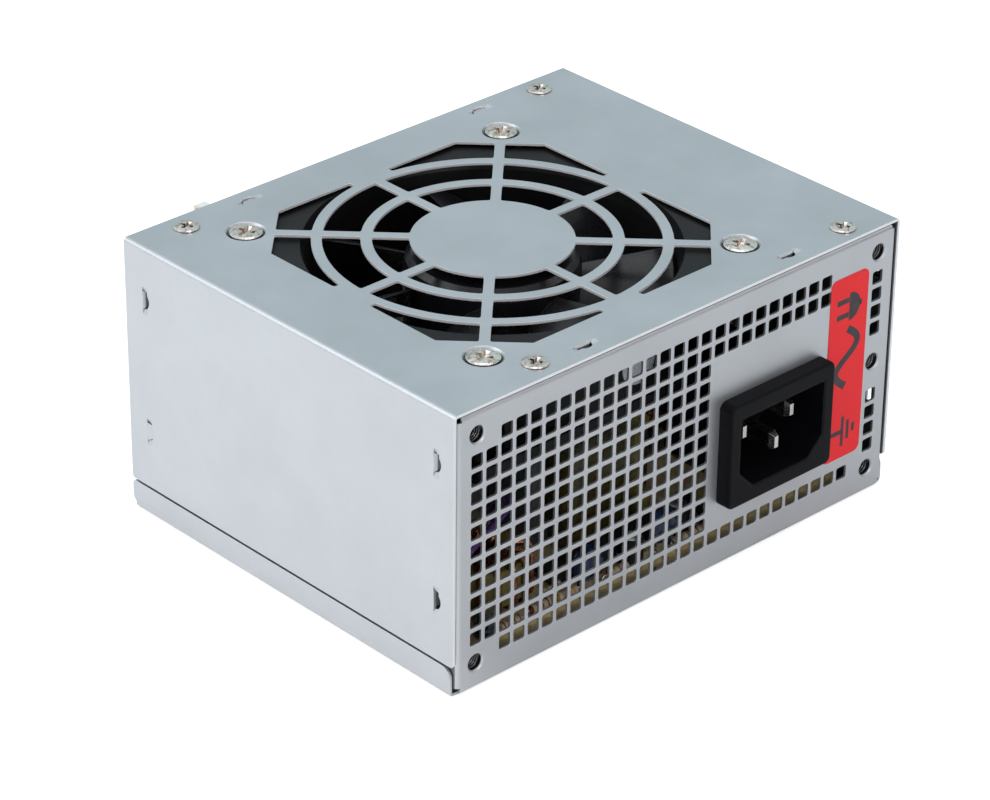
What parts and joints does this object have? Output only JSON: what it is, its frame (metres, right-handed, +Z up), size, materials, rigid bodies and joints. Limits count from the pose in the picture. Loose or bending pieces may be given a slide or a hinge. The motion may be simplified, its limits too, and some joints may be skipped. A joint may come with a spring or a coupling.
{
  "type": "power supply unit",
  "caption": "Small-form-factor computer power supply: perforated steel case with a mains inlet, a top-mounted fan behind a punched grille, and a wired output plug.",
  "frame": {"origin": "centre of the case floor's outer face, midway between the inlet panel and the cable panel", "axes": "+Z up through the fan, -Y out of the inlet panel, +Y out of the cable panel, +X to the right when facing the inlet panel"},
  "size_m": [0.125, 0.1191, 0.064],
  "materials": {
    "plated_steel": "satin zinc-plated sheet",
    "bright_screw": "bright nickel plate",
    "fan_black": "fine matt moulding",
    "impeller_black": "semi-gloss moulding",
    "steel": "machined",
    "ferrite_magnet": "bonded ferrite, matt",
    "white_nylon": "natural nylon",
    "bronze": "sintered, oiled",
    "laminated_steel": "stamped laminations",
    "copper_wire": "enamelled copper",
    "board_green": "solder-resist lacquer",
    "black_insulation": "soft wire insulation",
    "silver_seal": "silvered film sticker",
    "inlet_black": "fine matt moulding",
    "nickel": "bright nickel plate",
    "red_label": "satin film label",
    "brown_insulation": "soft wire insulation",
    "blue_insulation": "soft wire insulation",
    "earth_insulation": "soft wire insulation, green and yellow",
    "tinned": "tin plate",
    "board_tan": "paper laminate with clear lacquer",
    "brass": "turned",
    "black_film": "satin polyester film",
    "glass": "clear",
    "ferrite": "sintered ferrite",
    "yellow_film": "cast case",
    "blue_epoxy": "dipped epoxy",
    "green_epoxy": "dipped epoxy",
    "black_epoxy": "moulded epoxy",
    "aluminium": "bright drawn",
    "black_sleeve": "shrunk film sleeve",
    "tape_yellow": "polyester tape",
    "choke_core": "painted powder core",
    "green_sleeve": "shrunk film sleeve",
    "grommet_black": "moulded rubber",
    "yellow_insulation": "soft wire insulation",
    "red_insulation": "soft wire insulation",
    "orange_insulation": "soft wire insulation",
    "violet_insulation": "soft wire insulation",
    "plug_black": "moulded nylon"
  },
  "bodies": {
    "case": {"base_tray": "plated_steel", "top_cover": "plated_steel", "cover_screws": "bright_screw", "fan_screws": "bright_screw", "fan_frame": "fan_black", "fan_bearing": "bronze", "fan_stator_core": "laminated_steel", "fan_coils": "copper_wire", "fan_circuit_board": "board_green", "fan_lead": "black_insulation", "fan_plug": "white_nylon", "inspection_sticker": "silver_seal", "inlet_housing": "inlet_black", "inlet_blades": "nickel", "inlet_earth_blade": "nickel", "voltage_label": "red_label", "live_wire": "brown_insulation", "neutral_wire": "blue_insulation", "earth_wire": "earth_insulation", "earth_terminal": "tinned", "main_board": "board_tan", "board_standoffs": "brass", "board_screws": "bright_screw", "insulation_sheet": "black_film", "fuse_tube": "glass", "fuse_caps": "nickel", "line_choke_core": "ferrite", "line_choke_windings": "copper_wire", "x_capacitor": "yellow_film", "y_capacitors": "blue_epoxy", "inrush_thermistor": "green_epoxy", "bridge_rectifier": "black_epoxy", "bulk_capacitor_cans": "aluminium", "bulk_capacitor_sleeves": "black_sleeve", "primary_heatsink": "aluminium", "secondary_heatsink": "aluminium", "switching_transistors": "black_epoxy", "output_rectifiers": "black_epoxy", "device_screws": "bright_screw", "main_transformer_core": "ferrite", "main_transformer_winding": "tape_yellow", "drive_transformer_core": "ferrite", "drive_transformer_winding": "tape_yellow", "output_choke_core": "choke_core", "output_choke_winding": "copper_wire", "output_capacitor_cans": "aluminium", "output_capacitor_sleeves": "green_sleeve", "cable_grommet": "grommet_black", "output_wires_yellow": "yellow_insulation", "output_wires_black": "black_insulation", "output_wires_red": "red_insulation", "output_wires_orange": "orange_insulation", "output_wires_violet": "violet_insulation", "motherboard_plug": "plug_black", "cable_ties": "plug_black"},
    "fan_rotor": {"fan_impeller": "impeller_black", "fan_rotor_yoke": "steel", "fan_magnet_ring": "ferrite_magnet", "fan_shaft": "steel", "fan_shaft_clip": "white_nylon"}
  },
  "joints": [
    {"name": "fan_spin", "type": "hinge", "parent": "case", "child": "fan_rotor", "pos_m": [-0.0064, -0.0003, 0.05], "axis": [0, 0, 1], "continuous": true}
  ]
}
